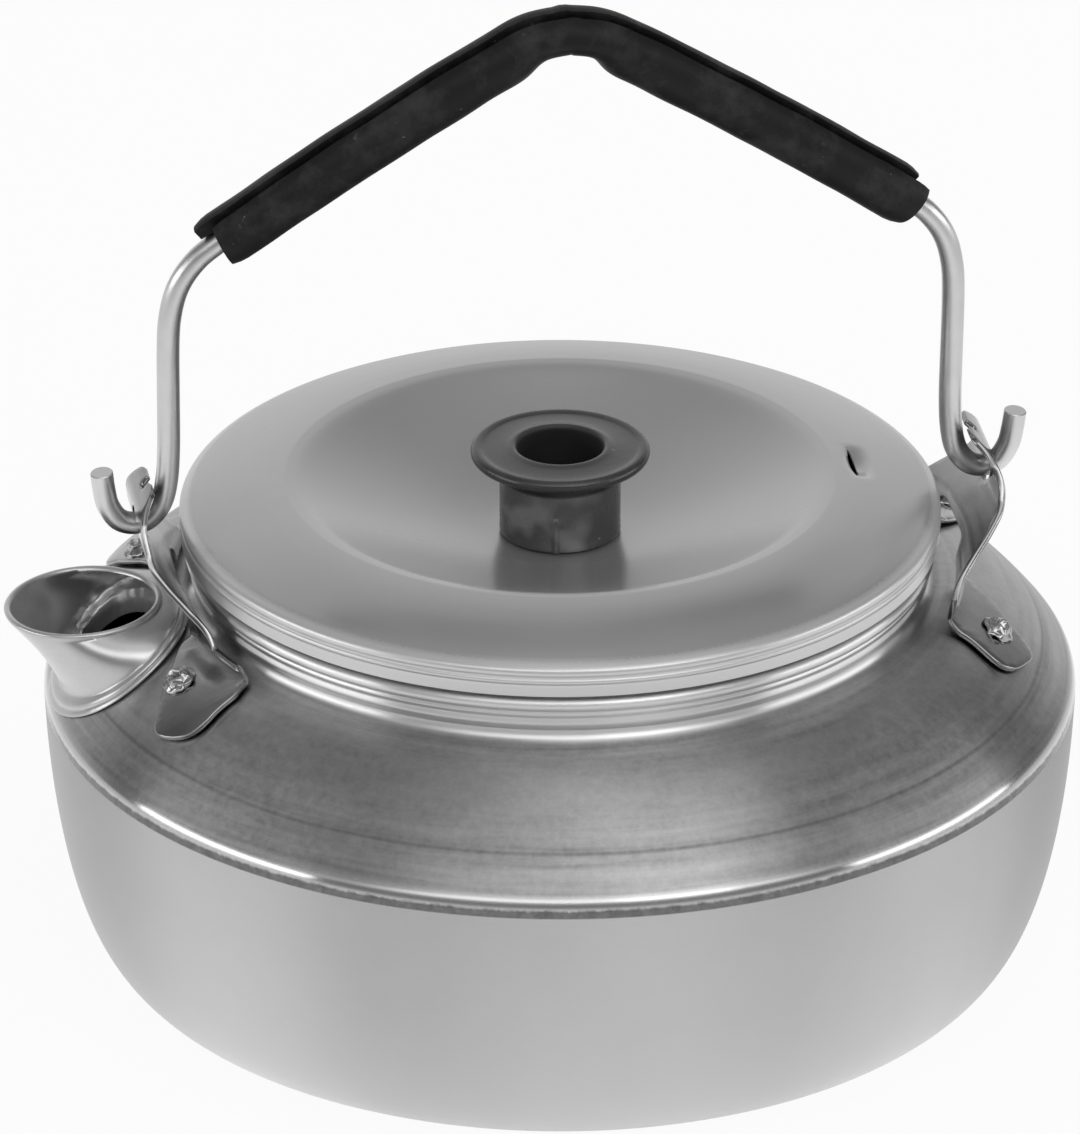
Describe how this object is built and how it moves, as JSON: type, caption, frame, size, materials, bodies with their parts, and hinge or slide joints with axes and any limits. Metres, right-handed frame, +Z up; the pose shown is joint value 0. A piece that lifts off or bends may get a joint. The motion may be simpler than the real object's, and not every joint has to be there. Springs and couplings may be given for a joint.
{
  "type": "camping kettle",
  "caption": "Low spun aluminium camping kettle with a short flared spout, a lift-off lid with a plastic knob, and a folding wire bail with a rubber grip.",
  "frame": {"origin": "on the kettle's turning axis, at the flat underside of the base", "axes": "+Z up along the turning axis, the spout points along -X, and the bail's pivot line is parallel to X"},
  "size_m": [0.1561, 0.1496, 0.1498],
  "materials": {
    "pot_aluminium": "hard anodised natural aluminium, brushed in rings on the shoulder",
    "spout_aluminium": "cast and tumbled, satin",
    "lid_aluminium": "hard anodised natural aluminium, satin, turned in rings",
    "knob_plastic": "glossy black phenolic",
    "fastener_steel": "bright zinc plated",
    "ear_steel": "polished stainless sheet",
    "rivet_aluminium": "peened, bright",
    "wire_steel": "polished stainless wire",
    "grip_rubber": "matte black rubber"
  },
  "bodies": {
    "pot": {"pot_body": "pot_aluminium", "spout": "spout_aluminium", "ear_rear": "ear_steel", "ear_spout": "ear_steel", "rivet_rear_front": "rivet_aluminium", "rivet_rear_back": "rivet_aluminium", "rivet_spout_front": "rivet_aluminium", "rivet_spout_back": "rivet_aluminium"},
    "lid": {"lid": "lid_aluminium", "lid_knob": "knob_plastic", "knob_screw": "fastener_steel", "knob_washer": "fastener_steel", "knob_nut": "fastener_steel"},
    "bail": {"bail_wire": "wire_steel", "grip_sleeve": "grip_rubber"}
  },
  "joints": [
    {"name": "bail_swing", "type": "hinge", "parent": "pot", "child": "bail", "pos_m": [0, 0, 0.0712], "axis": [1, 0, 0], "range_deg": [-102, 94]},
    {"name": "lid_lift", "type": "slide", "parent": "pot", "child": "lid", "axis": [0, 0, 1], "range_m": [0, 0.018]}
  ]
}
